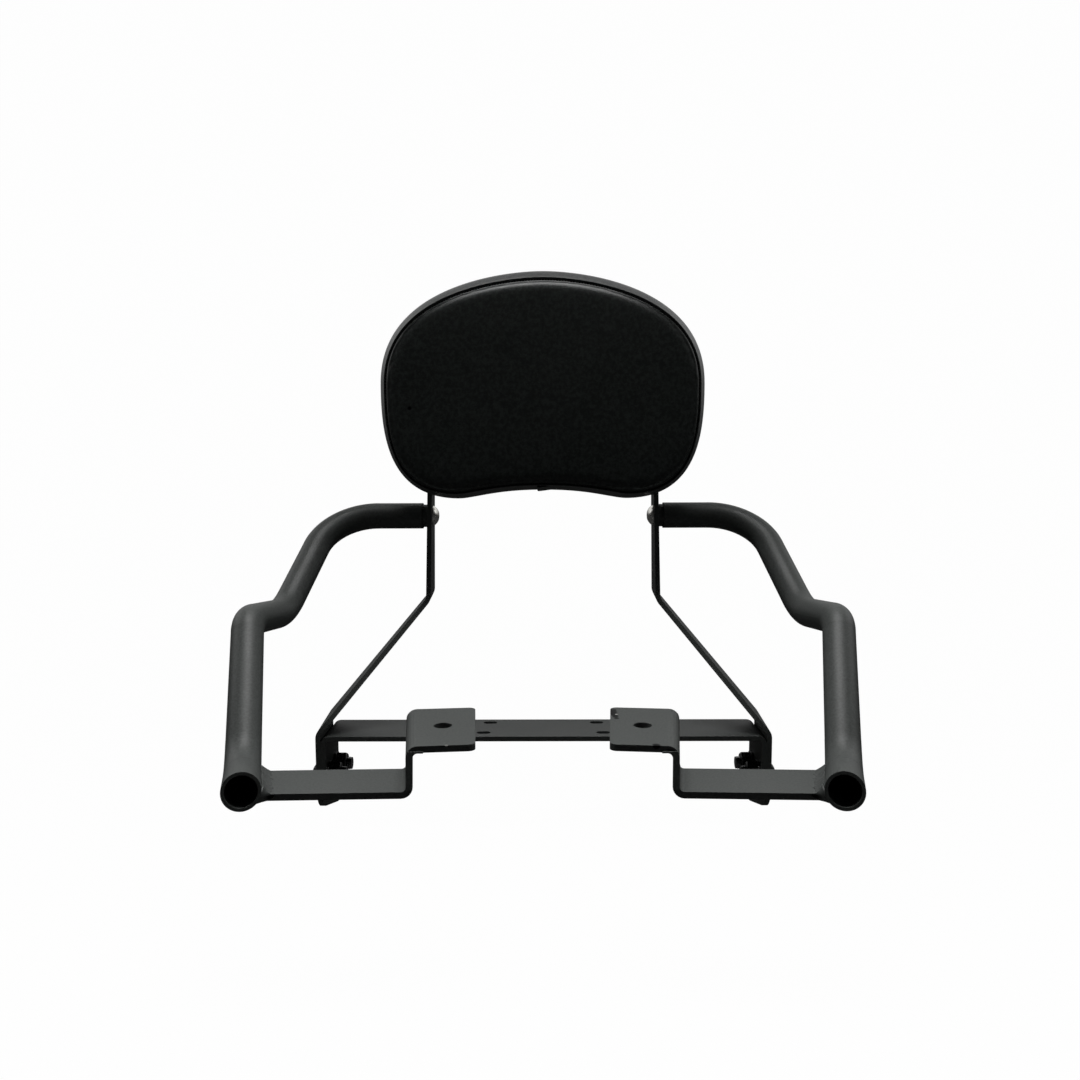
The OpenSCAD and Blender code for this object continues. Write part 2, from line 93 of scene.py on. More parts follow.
class PadSettings(bpy.types.PropertyGroup):
    """Sizes of the sewn pad, the same as the frame's own pad"""

    width: length("Width", 272.0, "Width of the pad across its widest part")
    above: length("Above centre", 97.5, "Height of the pad above its centre")
    below: length("Below centre", 93.0, "Depth of the two lobes below the centre")
    arch: length("Arch", 7.2, "Rise of the bottom edge between the lobes")
    thickness: length("Thickness", 47.0, "Thickness at the crown")
    back_y: length("Back", 242.5, "Distance of the back face behind the seat bolts")
    centre_z: length("Height", 220.5, "Height of the centre above the seat plates")
    lean: FloatProperty(
        name="Lean", description="Backward lean of the pad", default=math.radians(5.0), subtype="ANGLE")
    seam_height: length("Seam height", 38.0, "Distance of the seam ahead of the back face")
    seam_side: length("Seam inset", 7.3, "Distance of the seam inside the outline at the sides")
    stitch_pitch: length("Stitch pitch", 2.3, "Distance from one stitch to the next")
    thread: length("Thread", 1.3, "Thickness of the sewing thread")
    puff: length("Puff", 2.2, "Most that the cover may swell when it is blown up")
    puff_steps: IntProperty(
        name="Puff steps", description="Frames of the swelling simulation", default=20, min=2, max=40)
    leather: colour("Leatherette", (0.0096, 0.0117, 0.0109), "Colour of the black leatherette")
    thread_colour: colour("Thread colour", (0.005, 0.005, 0.005), "Colour of the thread")


class SteelSettings(bpy.types.PropertyGroup):
    """Colours and finishes of the metal"""

    powder: colour("Powder coat", (0.0290, 0.0325, 0.0305), "Colour of the black powder coat")
    powder_rough: share("Powder roughness", 0.55, "Roughness of the powder coat")
    bare: colour("Bare steel", (0.42, 0.42, 0.40), "Colour where the coat is chipped off")
    bright: colour("Bright bolt", (0.72, 0.71, 0.67), "Colour of the bright bolts")
    oxide: colour("Black oxide", (0.12, 0.12, 0.12), "Colour of the black bolts and nuts")
    zinc: colour("Zinc", (0.62, 0.61, 0.56), "Colour of the zinc-plated screws")
    strap_top: length("Strap top", -25.5, "Height of the strap's top face", -100, 100)
    strap_thick: length("Strap thickness", 4.0, "Thickness of the strap")
    strap_front: length("Strap front", -48.4, "Place of the strap's front edge beside the rail", -200, 200)
    strap_back: length("Strap back", -7.5, "Place of the strap's rear edge beside the rail", -200, 200)
    thread_pitch: length("Thread pitch", 1.5, "Pitch of the frame bolts' thread")
    edge: length("Edge radius", 0.5, "Radius that light sees on sheared edges")


class StageSettings(bpy.types.PropertyGroup):
    """Camera, lamps and the white surroundings"""

    camera_x: length("Camera side", 1.84, "Sideways place of the camera", -100, 100)
    camera_y: length("Camera distance", -564.3, "Place of the camera in front of the part", -2000, 0)
    camera_z: length("Camera height", 173.0, "Height of the camera", -1000, 2000)
    camera_yaw: FloatProperty(
        name="Yaw", description="Turn of the camera", default=math.radians(-0.317), subtype="ANGLE")
    camera_pitch: FloatProperty(
        name="Pitch", description="Downward tilt", default=math.radians(5.756), subtype="ANGLE")
    camera_roll: FloatProperty(
        name="Roll", description="Roll of the camera", default=math.radians(0.186), subtype="ANGLE")
    focal_share: share("Focal share", 929.0 / 1080.0, "Focal length as a share of the picture width")
    top_lamp: share("Top lamp", 18.0, "Power of the wide lamp above, in watts", 0, 200)
    side_lamp: share("Side lamps", 2.5, "Power of each lamp behind and beside, in watts", 0, 200)
    surround: share("Surround", 0.033, "Light that comes from all round the room", 0, 2)
    near_floor: share("Near floor", 0.03, "Share of the white that the floor under the part mirrors")
    floor_shade: share("Floor shadow", 0.06, "Share of real shading that the white floor keeps")


# Node materials as plain expressions


class Socket:
    """An output socket that can stand in a sum: each operator adds one Math node."""

    def __init__(self, finish, output):
        self.finish = finish
        self.output = output

    def maths(self, operation, *values):
        return self.finish.node("Math", {"operation": operation}, dict(enumerate(values)))

    def __add__(self, other):
        return self.maths("ADD", self, other)

    def __sub__(self, other):
        return self.maths("SUBTRACT", self, other)

    def __mul__(self, other):
        return self.maths("MULTIPLY", self, other)

    def __truediv__(self, other):
        return self.maths("DIVIDE", self, other)

    def __radd__(self, other):
        return self.maths("ADD", other, self)

    def __rsub__(self, other):
        return self.maths("SUBTRACT", other, self)

    def __rmul__(self, other):
        return self.maths("MULTIPLY", other, self)

    def __rtruediv__(self, other):
        return self.maths("DIVIDE", other, self)

    def clamped(self):
        return self.finish.node("Clamp", {}, {"Value": self})


class Finish:
    """A node material under construction."""

    def __init__(self, name):
        self.material = bpy.data.materials.new(name)
        self.material.use_nodes = True
        self.tree = self.material.node_tree
        self.tree.nodes.clear()

    def node(self, kind, settings=None, inputs=None, output=0):
        made = self.tree.nodes.new("ShaderNode" + kind)
        for name, value in (settings or {}).items():
            if name == "stops":
                while len(made.color_ramp.elements) < len(value):
                    made.color_ramp.elements.new(0.5)
                for element, (place, shade) in zip(made.color_ramp.elements, value):
                    element.position = place
                    element.color = (shade, shade, shade, 1.0)
            else:
                setattr(made, name, value)
        for name, value in (inputs or {}).items():
            if isinstance(value, Socket):
                self.tree.links.new(value.output, made.inputs[name])
            elif value is not None:
                made.inputs[name].default_value = value
        return Socket(self, made.outputs[output]) if made.outputs else None

    def place(self):
        """Object coordinates in metres."""
        return self.node("TexCoord", output="Object")

    def noise(self, size_mm, detail=2.0, rough=0.5):
        return self.node("TexNoise", {}, {
            "Vector": self.place(), "Scale": 1.0 / (size_mm * MM), "Detail": detail, "Roughness": rough})

    def cells(self, size_mm):
        """0 along the creases between cells, rising towards their middles."""
        return self.node("TexVoronoi", {"feature": "DISTANCE_TO_EDGE"}, {
            "Vector": self.place(), "Scale": 1.0 / (size_mm * MM)})

    def ramp(self, value, *stops):
        """Turns a value into a grey by stops of (place, shade)."""
        return self.node("ValToRGB", {"stops": stops}, {"Fac": value})

    def mix(self, factor, first, second):
        return self.node("Mix", {"data_type": "RGBA"}, {0: factor, 6: first, 7: second}, output=2)

    def near(self, point, radius_mm, softness_mm):
        """1 inside a small ball around a point of the part, falling to 0 outside it."""
        ends = {0: self.place(), 1: point}
        away = self.node("VectorMath", {"operation": "DISTANCE"}, ends, output="Value")
        return (1 - (away - radius_mm * MM) / (softness_mm * MM)).clamped()

    def bump(self, height, depth_mm, strength=1.0, normal=None):
        return self.node("Bump", {}, {
            "Height": height, "Distance": depth_mm * MM, "Strength": strength, "Normal": normal})

    def surface(self, **values):
        """Ends the material with a Principled shader; names are its sockets with underscores."""
        inputs = {name.replace("_", " "): value for name, value in values.items()}
        shader = self.node("BsdfPrincipled", {}, inputs)
        self.node("OutputMaterial", {}, {"Surface": shader})
        return self.material


def rgba(values, gain=1.0):
    return tuple(v * gain for v in values) + (1.0,)


# Materials


def powder_coat(steel, name="powder_coat", chips=()):
    """Satin black powder coat: fine orange peel, pale grain, faint cloudiness, and any chips, pale ones of
    bare steel or dark ones that are painted shade of notches.
    """
    f = Finish(name)
    cloud = f.noise(38.0, 3.0)
    peel = f.noise(1.1, 3.0, 0.6)
    dust = f.noise(0.5, 1.0)
    shade = f.mix(cloud, rgba(steel.powder, 0.82), rgba(steel.powder, 1.18))
    speck = f.ramp(f.noise(2.4, 4.0, 0.7), (0.70, 0.0), (0.76, 1.0))
    shade = f.mix(speck * 0.35, shade, rgba(steel.powder, 2.2))
    grain = f.ramp(f.noise(1.5, 3.0, 0.7), (0.38, 0.0), (0.62, 1.0))
    shade = f.mix(grain * 0.5, shade, rgba(steel.powder, 2.2))
    rough = steel.powder_rough + (cloud - 0.5) * 0.14 + (dust - 0.5) * 0.12
    bare = 0.0
    # Chips: pale ones are bare steel, dark ones are painted shade of notches; both are made metallic
    for point, radius, tone in chips:
        edge = f.noise(1.3, 3.0)
        mask = (f.near(point, radius, radius * 0.45) * (0.6 + edge)).clamped()
        shade = f.mix(mask, shade, rgba(tone))
        bare = mask + bare
    metallic = bare.clamped() if chips else 0.0
    rounded = f.node("Bevel", {"samples": 4}, {"Radius": steel.edge})
    normal = f.bump(peel * 0.7 + dust * 0.3, 0.06, 0.55, rounded)
    return f.surface(Base_Color=shade, Metallic=metallic, Roughness=rough, Normal=normal)


def weld_coat(steel, shaded_hollows):
    """The same coat over rippled weld metal, a little duller, with painted shade in its hollows."""
    f = Finish("coated_weld")
    peel = f.noise(1.4, 4.0, 0.65)
    shade = f.mix(peel, rgba(steel.powder, 0.6), rgba(steel.powder, 1.5))
    # Painted shade in the hollows: a darker colour there, made metallic so that no diffuse light shows
    hollow_shade = 0.0
    for point, radius in shaded_hollows:
        hollow_shade = f.near(point, radius, 2.5) * (0.7 + peel) + hollow_shade
    hollow_shade = hollow_shade.clamped()
    shade = f.mix(hollow_shade, shade, rgba(steel.powder, 0.12))
    rough = steel.powder_rough + peel * 0.1
    return f.surface(Base_Color=shade, Metallic=hollow_shade, Roughness=rough, Normal=f.bump(peel, 0.25, 0.6))


def leatherette(pad, name, gain, roughness, shine, spot=None):
    """Embossed black leatherette: pebble grain with painted shade in the creases between, softly uneven, and
    any dark pit with its shade painted in.
    """
    f = Finish(name)
    pebble = f.ramp(f.cells(1.5), (0.0, 0.0), (0.22, 0.75), (0.6, 1.0))
    wrinkle = f.noise(0.9, 3.0, 0.6)
    cloud = f.noise(60.0, 2.0)
    shade = f.mix(cloud, rgba(pad.leather, gain * 0.85), rgba(pad.leather, gain * 1.15))
    # Painted shade in the creases between the pebbles
    shade = f.mix((1 - pebble) * 0.35, shade, rgba(pad.leather, gain * 0.4))
    mottle = f.ramp(f.noise(3.2, 4.0, 0.7), (0.42, 0.0), (0.62, 1.0))
    shade = f.mix(mottle * 0.7, shade, rgba(pad.leather, gain * 3.0))
    rough = roughness + (cloud - 0.5) * 0.08 + (1 - pebble) * 0.12
    height = pebble * 0.75 + wrinkle * 0.25
    # A pit at the spot: sunk by bump, with its shade painted in dark and metallic
    shaded_pit = 0.0
    if spot:
        shaded_pit = f.near(spot, 1.1, 1.2)
        shade = f.mix(shaded_pit, shade, rgba(pad.leather, 0.15))
        height = height - shaded_pit * 3
    return f.surface(
        Base_Color=shade, Metallic=shaded_pit, Roughness=rough, Specular_IOR_Level=shine,
        Normal=f.bump(height, 0.12, 0.7))


def thread_finish(pad):
    """Dull black twisted sewing thread."""
    f = Finish("sewing_thread")
    twist = f.noise(0.35, 2.0)
    shade = f.mix(twist, rgba(pad.thread_colour, 0.6), rgba(pad.thread_colour, 1.8))
    return f.surface(
        Base_Color=shade, Roughness=0.55 + twist * 0.2, Specular_IOR_Level=0.1,
        Normal=f.bump(twist, 0.08, 0.6))


def back_cloth(pad):
    """Plain woven cloth on the back of the pad."""
    f = Finish("back_cloth")
    across, along = (
        f.node("TexWave", {"bands_direction": way}, {"Vector": f.place(), "Scale": 160.0, "Distortion": 0.4})
        for way in ("X", "Z"))
    weave = f.node("Math", {"operation": "MAXIMUM"}, {0: across, 1: along})
    shade = f.mix(weave, rgba(pad.leather, 0.6), rgba(pad.leather, 1.7))
    return f.surface(Base_Color=shade, Roughness=0.8 - weave * 0.1, Normal=f.bump(weave, 0.12, 0.6))


def bright_metal(name, tone, roughness, metallic=1.0):
    """Machined metal with fine turning marks and a little grime in the hollows."""
    f = Finish(name)
    marks = f.noise(0.6, 4.0, 0.7)
    film = f.noise(7.0, 3.0)
    shade = f.mix(film, rgba(tone, 0.85), rgba(tone, 1.08))
    rounded = f.node("Bevel", {"samples": 4}, {"Radius": 0.35 * MM})
    return f.surface(
        Base_Color=shade, Metallic=metallic, Roughness=roughness + marks * 0.12 + (film - 0.5) * 0.1,
        Normal=f.bump(marks, 0.02, 0.5, rounded))


def bare_material(name, dark, light, roughness, grain_mm):
    """Plain stock that hardly shows, such as the pad's board."""
    f = Finish(name)
    grain = f.noise(grain_mm, 4.0, 0.6)
    shade = f.mix(grain, rgba(dark), rgba(light))
    return f.surface(Base_Color=shade, Roughness=roughness, Normal=f.bump(grain, 0.2, 0.6))


def paint(names, material):
    """Gives the named solids of the frame one material."""
    for name in names:
        slots = NODES[name].data.materials
        slots.clear()
        slots.append(material)


# Shapes


def link(name, mesh, material, slot, *replaced):
    """Puts a finished mesh into the scene as a piece of the part."""
    piece = bpy.data.objects.new(name, mesh)
    bpy.context.scene.collection.objects.link(piece)
    mesh.materials.append(material)
    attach(piece, "root")
    if replaced:
        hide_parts(*replaced)
    return piece


def smooth(mesh):
    mesh.polygons.foreach_set("use_smooth", [True] * len(mesh.polygons))
    mesh.update()


def ring_mesh(name, rings):
    """A skin through rings of equally many points, closed over the last one."""
    count = len(rings[0])
    verts = [tuple(p) for ring in rings for p in ring]
    faces = []
    for k in range(len(rings) - 1):
        low, high = k * count, (k + 1) * count
        faces += [(low + i, low + (i + 1) % count, high + (i + 1) % count, high + i) for i in range(count)]
    verts.append(tuple(sum(rings[-1], Vector()) / count))
    tip, base = len(verts) - 1, (len(rings) - 1) * count
    faces += [(base + i, base + (i + 1) % count, tip) for i in range(count)]
    mesh = bpy.data.meshes.new(name)
    mesh.from_pydata(verts, [], faces)
    smooth(mesh)
    return mesh


def subdivide(piece, levels):
    """Applies a subdivision surface, so that no modifier is left on the piece."""
    modifier = piece.modifiers.new("smooth_cover", "SUBSURF")
    modifier.levels = levels
    modifier.render_levels = levels
    applied = bpy.data.meshes.new_from_object(piece.evaluated_get(bpy.context.evaluated_depsgraph_get()))
    piece.modifiers.clear()
    materials = list(piece.data.materials)
    piece.data = applied
    for slot_index, material in enumerate(materials):
        piece.data.materials[slot_index] = material
    smooth(piece.data)


# The pad's outline, in its own frame: x across, y up the back, z forward from the back face


def bezier(points, t):
    """A point of a cubic curve."""
    a, b, c, d = points
    return a * (1 - t) ** 3 + b * 3 * t * (1 - t) ** 2 + c * 3 * t * t * (1 - t) + d * t ** 3


class PadForm:
    """The pad's outline with its normals, and points on the cover."""

    # The front panel rises in a short round lip beside the seam, then in a long shallow dome
    LIP_WIDTH, LIP_HEIGHT, DOME_REACH = 9 * MM, 5.4 * MM, 30 * MM
    PANEL_MIDDLE = Vector((0, 2 * MM))

    def __init__(self, pad, count=216):
        self.pad = pad
        half, above, below, arch = pad.width / 2, pad.above, pad.below, pad.arch
        # Height of the widest place, side place of the lobe's lowest point, points on each curve
        widest, lobe, steps = 4 * MM, 70 * MM, 60
        # The right half: from the top's middle to the widest place, to the lobe, to the arch's middle
        curves = [
            [(0, above), (30 * MM, above), (half, 87 * MM), (half, widest)],
            [(half, widest), (half, -40 * MM), (130 * MM, -below), (lobe, -below)],
            [(lobe, -below), (60 * MM, -below), (40 * MM, arch - below), (0, arch - below)],
        ]
        fine = [bezier([Vector(p) for p in c], k / steps) for c in curves for k in range(steps)]
        fine.append(Vector((0, arch - below)))
        fine += [Vector((-p.x, p.y)) for p in reversed(fine[1:-1])]
        self.points = self.even(fine, count)
        self.normals = []
        for i in range(count):
            run = self.points[(i + 1) % count] - self.points[i - 1]
            self.normals.append(Vector((-run.y, run.x)).normalized())
        lean = Matrix.Rotation(math.radians(90) - pad.lean, 4, "X")
        self.to_part = Matrix.Translation((0, pad.back_y, pad.centre_z)) @ lean

    @staticmethod
    def even(loop, count):
        """The same closed loop with points an equal way apart."""
        ends = loop[1:] + loop[:1]
        runs = [(b - a).length for a, b in zip(loop, ends)]
        step, total, out, i = sum(runs) / count, 0.0, [], 0
        for k in range(count):
            while total + runs[i] < k * step:
                total += runs[i]
                i += 1
            out.append(loop[i].lerp(ends[i], (k * step - total) / runs[i]))
        return out

    def seam_inset(self, i):
        """Distance of the seam inside the outline: most along the top edge, least along the bottom."""
        rise = self.normals[i].y
        return self.pad.seam_side + (4.0 * rise + 0.7 * rise * rise) * MM

    def inset(self, i, distance):
        """A flat point inside the outline."""
        return self.points[i] - self.normals[i] * distance

    def groove_share(self, i):
        """The seam gapes along the top edge and is nearly closed along the bottom."""
        return 0.78 + 0.3 * self.normals[i].y

    def seam_ring(self, off, height):
        """A ring beside the seam's line, nearer to it where the groove is narrow."""
        return [self.at(self.inset(i, self.seam_inset(i) + off * self.groove_share(i)), height)
                for i in range(len(self.points))]

    def at(self, flat, height):
        """A flat point's place in the part."""
        return self.to_part @ Vector((flat.x, flat.y, height))

    def ring(self, distance, seam_share, height):
        """A ring inside the outline by a distance and a share of the seam's own inset."""
        return [self.at(self.inset(i, distance + seam_share * self.seam_inset(i)), height)
                for i in range(len(self.points))]

    def shrunk_ring(self, scale, height, distance):
        """A ring towards the middle of the panel, as an evenly shrunk copy of the inset outline."""
        middle = self.PANEL_MIDDLE
        outer = [self.inset(i, distance + self.seam_inset(i)) for i in range(len(self.points))]
        return [self.at(middle + (p - middle) * scale, height) for p in outer]

    def crown(self, inward):
        """Height of the front panel at a distance in from the seam."""
        lip = math.sqrt(max(0.0, 1 - (1 - min(inward, self.LIP_WIDTH) / self.LIP_WIDTH) ** 2))
        dome = 1 - math.exp(-inward / self.DOME_REACH)
        dome_height = self.pad.thickness - self.pad.seam_height - self.LIP_HEIGHT
        return self.pad.seam_height + self.LIP_HEIGHT * lip + dome_height * dome


def cover_rings(form):
    """Rings of the whole cover from the back edge over the border and seam to the panel's middle."""
    # Border: distance in from the outline, share of the seam's inset, height above the back face
    border = [
        (17.0, 0, 0.3), (9.0, 0, 0.0), (6.5, 0, 0.0), (4.4, 0, 1.2), (2.6, 0, 3.6), (1.3, 0, 7.0),
        (0.5, 0, 11.0), (0.1, 0, 15.0), (0.0, 0.02, 19.0), (0.0, 0.1, 23.0), (0.0, 0.24, 27.0),
        (0.0, 0.45, 31.0), (-0.2, 0.66, 34.4), (-0.5, 0.82, 36.6)]
    rings = [form.ring(inward * MM, seam_share, height * MM) for inward, seam_share, height in border]
    # Groove: distance in from the seam's line, height above the back face
    groove = [(-1.9, 38.0), (-1.3, 37.95), (-0.85, 37.6), (-0.5, 37.2), (0.1, 37.0), (0.7, 37.1)]
    rings += [form.seam_ring(inward * MM, height * MM) for inward, height in groove]
    # Panel: distances in from the seam, the first ring sunk into the groove
    inwards, sunk = (1.0, 1.5, 2.4, 3.8, 6.0, 9.0, 12.5, 17.0, 22.0), 1.2 * MM
    for inward in inwards:
        height = form.crown(inward * MM) - (sunk if inward == inwards[0] else 0)
        rings.append(form.ring(inward * MM, 1, max(height, form.pad.seam_height)))
    # Shrunk copies of the last of these, as if the middle were 60 mm further in
    last, to_middle = inwards[-1], 60
    for scale in (0.86, 0.72, 0.58, 0.44, 0.30, 0.17, 0.07):
        rings.append(form.shrunk_ring(scale, form.crown((last + to_middle * (1 - scale)) * MM), last * MM))
    return rings, len(border), len(groove)


def swell(piece, pinned, pad):
    """Blows the cover up like stuffed fabric held at its seams, then keeps each point near its start."""
    start = [v.co.copy() for v in piece.data.vertices]
    group = piece.vertex_groups.new(name="held_seams")
    group.add(pinned, 1.0, "REPLACE")
    cloth = piece.modifiers.new("stuffing", "CLOTH")
    cloth.settings.quality = 6
    cloth.settings.mass = 0.3
    cloth.settings.tension_stiffness = 20
    cloth.settings.bending_stiffness = 2.0
    cloth.settings.use_pressure = True
    cloth.settings.uniform_pressure_force = 4.0
    cloth.settings.vertex_group_mass = group.name
    cloth.settings.effector_weights.gravity = 0.0
    cloth.collision_settings.use_collision = False
    cloth.point_cache.frame_end = pad.puff_steps
    scene = bpy.context.scene
    for step in range(1, pad.puff_steps + 1):
        scene.frame_set(step)
    blown = piece.evaluated_get(bpy.context.evaluated_depsgraph_get()).to_mesh()
    moved = [v.co.copy() for v in blown.vertices]
    piece.modifiers.clear()
    scene.frame_set(1)
    for vertex, old, new in zip(piece.data.vertices, start, moved):
        way = new - old
        vertex.co = old + way * min(1.0, pad.puff / max(way.length, 1e-9))
    piece.data.update()


def part_of(mesh, name, first, last):
    """A copy of a mesh that keeps only the faces from one number to another."""
    bm = bmesh.new()
    bm.from_mesh(mesh)
    bm.faces.ensure_lookup_table()
    gone = [f for f in bm.faces if not first <= f.index < last]
    bmesh.ops.delete(bm, geom=gone, context="FACES")
    out = bpy.data.meshes.new(name)
    bm.to_mesh(out)
    bm.free()
    return out


def skin(bm, rows, closed=True, capped=False):
    """Faces between each row of vertices and the next."""
    count = len(rows[0])
    for low, high in zip(rows, rows[1:]):
        for k in range(count if closed else count - 1):
            after = (k + 1) % count
            bm.faces.new((low[k], low[after], high[after], high[k]))
    if capped:
        bm.faces.new(list(reversed(rows[0])))
        bm.faces.new(rows[-1])


def stitch(bm, start, end, up, thickness):
    """One stitch: a rounded lozenge from start to end."""
    along = end - start
    across = along.cross(up).normalized()
    sides = 8
    rings = []
    for share_along, size in ((0.0, 0.35), (0.12, 0.8), (0.35, 1.0), (0.65, 1.0), (0.88, 0.8), (1.0, 0.35)):
        centre = start + along * share_along
        ring = []
        for k in range(sides):
            a = 2 * math.pi * k / sides
            sideways = across * (math.cos(a) * thickness / 2 * size)
            ring.append(bm.verts.new(centre + sideways + up * (math.sin(a) * thickness / 2 * size)))
        rings.append(ring)
    skin(bm, rings, capped=True)


def mesh_from(bm, name):
    """Ends a mesh under construction, smooth and with its faces outward."""
    bmesh.ops.recalc_face_normals(bm, faces=bm.faces)
    mesh = bpy.data.meshes.new(name)
    bm.to_mesh(mesh)
    bm.free()
    smooth(mesh)
    return mesh


def bead_mesh(name, path, ripple):
    """A weld bead along a path of (point, leg along one face, leg up the other)."""
    # Points over which an end narrows, depth of the feet in the steel, shares of the way over the bead
    taper, sunk, shares = 3, 0.4, (0, 0.14, 0.3, 0.5, 0.7, 0.86, 1)
    bm = bmesh.new()
    rings, run = [], 0.0
    for k, (point, along, up) in enumerate(path):
        if k:
            run += (point - path[k - 1][0]).length
        wave = abs(math.sin(math.pi * run / ripple))
        lump = noise.noise(Vector((run * 400, 3.1, point.z * 90)))
        end = min(1.0, (k + 0.6) / taper, (len(path) - k - 0.4) / taper)
        low = along * (1 + 0.3 * noise.noise(Vector((run * 260, 8.0, 0.0)))) * end
        high = up * (1 + 0.25 * noise.noise(Vector((run * 230, 0.0, 5.0)))) * end
        flat, tall = along.normalized(), up.normalized()
        first, last = point + low - tall * sunk * MM, point + high - flat * sunk * MM
        middle = point + (low + high) * (0.27 + 0.10 * wave + 0.12 * lump)
        ring = [point - flat * 1.2 * MM - tall * 0.6 * MM]
        ring += [first * (1 - t) ** 2 + middle * 2 * t * (1 - t) + last * t * t for t in shares]
        rings.append([bm.verts.new(p) for p in ring])
    skin(bm, rings, capped=True)
    return mesh_from(bm, name)


# Operators: one for each piece or group of like pieces


class BACKREST_OT_stage(bpy.types.Operator):
    """Camera, lamps and white surroundings"""

    bl_idname = "backrest.stage"
    bl_label = "Stage"

    def execute(self, context):
        stage = context.scene.backrest_stage
        self.camera(context, stage)
        self.surroundings(context, stage)
        self.lamps(context, stage)
        return {"FINISHED"}

    @staticmethod
    def camera(context, stage):
        data = bpy.data.cameras.new("photo_camera")
        data.lens = data.sensor_width * stage.focal_share
        data.clip_start, data.clip_end = 0.01, 50.0
        yaw, pitch, roll = stage.camera_yaw, stage.camera_pitch, stage.camera_roll
        ahead = Vector((math.sin(yaw) * math.cos(pitch), math.cos(yaw) * math.cos(pitch), -math.sin(pitch)))
        right = Vector((math.cos(yaw), -math.sin(yaw), 0))
        down = ahead.cross(right)
        rolled = right * math.cos(roll) + down * math.sin(roll)
        up = -ahead.cross(rolled)
        turn = Matrix((rolled, up, -ahead)).transposed().to_4x4()
        camera = bpy.data.objects.new("photo_camera", data)
        camera.matrix_world = Matrix.Translation((stage.camera_x, stage.camera_y, stage.camera_z)) @ turn
        context.scene.collection.objects.link(camera)
        context.scene.camera = camera

    @staticmethod
    def surroundings(context, stage):
        f = Finish("white_floor")
        camera, glossy, clear = (
            f.node("LightPath", output="Is %s Ray" % kind) for kind in ("Camera", "Glossy", "Transmission"))
        # The sweep is brightest high up at the back, so fronts and undersides mirror its darker part
        height = f.node("SeparateXYZ", {}, {"Vector": f.place()}, output="Z")
        lit = f.ramp(height / 1.3, (0.0, stage.near_floor), (1.0, 1.0))
        seen = (camera + glossy * lit + clear).clamped()
        diffuse = f.node("BsdfDiffuse", {}, {"Color": (0.08, 0.08, 0.08, 1.0)})
        white = f.node("Emission", {}, {"Color": (1.0, 1.0, 1.0, 1.0), "Strength": 1.05})
        both = f.node("MixShader", {}, {0: seen * (1 - stage.floor_shade), 1: diffuse, 2: white})
        f.node("OutputMaterial", {}, {"Surface": both})
        bm = bmesh.new()
        depth = CAD_BOX[0].z - 0.4 * MM
        front, back, radius, top, half_width = -0.34, 1.6, 0.6, 3.0, 3.5
        sweep = [(front, 0.0), (back, 0.0)]
        sweep += [(back + radius * math.sin(a), radius - radius * math.cos(a))
                  for a in (math.radians(k * 9) for k in range(1, 11))]
        sweep.append((back + radius, top))
        rows = [[bm.verts.new((x, y, depth + z)) for x in (-half_width, half_width)] for y, z in sweep]
        skin(bm, rows, closed=False)
        mesh = mesh_from(bm, "white_sweep")
        mesh.materials.append(f.material)
        floor = bpy.data.objects.new("white_sweep", mesh)
        context.scene.collection.objects.link(floor)
        world = bpy.data.worlds.new("soft_room")
        world.use_nodes = True
        background = world.node_tree.nodes["Background"]
        background.inputs["Color"].default_value = (1.0, 1.0, 1.0, 1.0)
        background.inputs["Strength"].default_value = stage.surround
        context.scene.world = world
        context.scene.view_settings.view_transform = "Standard"

    @staticmethod
    def lamps(context, stage):
        def lamp(name, place, target, size, power):
            data = bpy.data.lights.new(name, "AREA")
            data.shape = "RECTANGLE"
            data.size, data.size_y = size
            data.energy = power
            piece = bpy.data.objects.new(name, data)
            piece.location = place
            piece.rotation_euler = (Vector(target) - Vector(place)).to_track_quat("-Z", "Y").to_euler()
            context.scene.collection.objects.link(piece)

        lamp("top_softbox", (0, 0.13, 1.2), (0, 0.08, 0), (0.75, 0.42), stage.top_lamp)
        for side in (-1, 1):
            place, target = (side * 1.1, 0.35, 0.7), (side * 0.15, 0.1, 0.0)
            lamp("side_softbox", place, target, (0.6, 0.6), stage.side_lamp)
        # A black card keeps half of the top light off the upper rails, as in the photo
        f = Finish("black_card")
        f.surface(Base_Color=(0.01, 0.01, 0.01, 1.0), Roughness=0.9, Specular_IOR_Level=0.0)
        bm = bmesh.new()
        half_width, near, far, height = 0.45, 0.14, 0.7, 0.62
        corners = ((-half_width, near), (half_width, near), (half_width, far), (-half_width, far))
        bm.faces.new([bm.verts.new((x, y, height)) for x, y in corners])
        card = bpy.data.objects.new("black_card", mesh_from(bm, "black_card"))
        card.data.materials.append(f.material)
        card.visible_camera = False
        card.visible_glossy = False
        context.scene.collection.objects.link(card)


